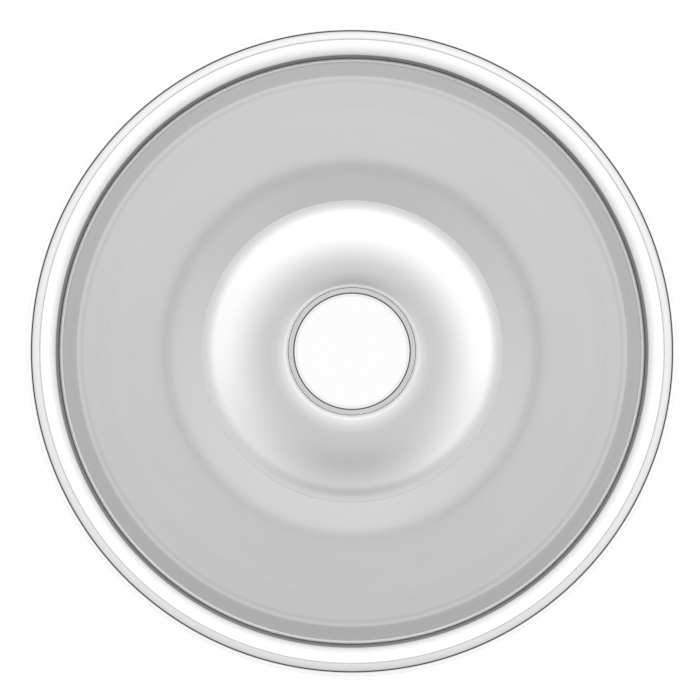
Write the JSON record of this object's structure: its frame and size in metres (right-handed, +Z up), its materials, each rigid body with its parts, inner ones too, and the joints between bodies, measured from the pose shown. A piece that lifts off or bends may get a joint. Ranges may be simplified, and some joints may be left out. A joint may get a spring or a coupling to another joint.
{
  "type": "donut cutter",
  "caption": "Round sheet-metal donut cutter: a cutting wall with a rolled rim, a pressed plate inside it, and a low lift-out dome whose tube cuts the hole.",
  "frame": {"origin": "centre of the circle that the cutting edge stands on", "axes": "+Z up along the axis that every piece is turned about, +Y towards the top of the picture, +X towards its right"},
  "size_m": [0.096, 0.096, 0.032],
  "materials": {
    "rolled_steel": "polished, with fine rings round the rolled rim",
    "wire_steel": "bright drawn wire",
    "spun_steel": "satin, with fine concentric turning lines",
    "polished_steel": "polished, with faint concentric turning lines",
    "tube_steel": "satin drawn tube"
  },
  "bodies": {
    "cutter": {"outer_cutter": "rolled_steel", "rim_wire": "wire_steel", "top_plate": "spun_steel"},
    "centre": {"centre_dome": "polished_steel", "centre_cutter": "tube_steel"}
  },
  "joints": [
    {"name": "centre_lift", "type": "slide", "parent": "cutter", "child": "centre", "axis": [0, 0, 1], "range_m": [0, 0.034]}
  ]
}
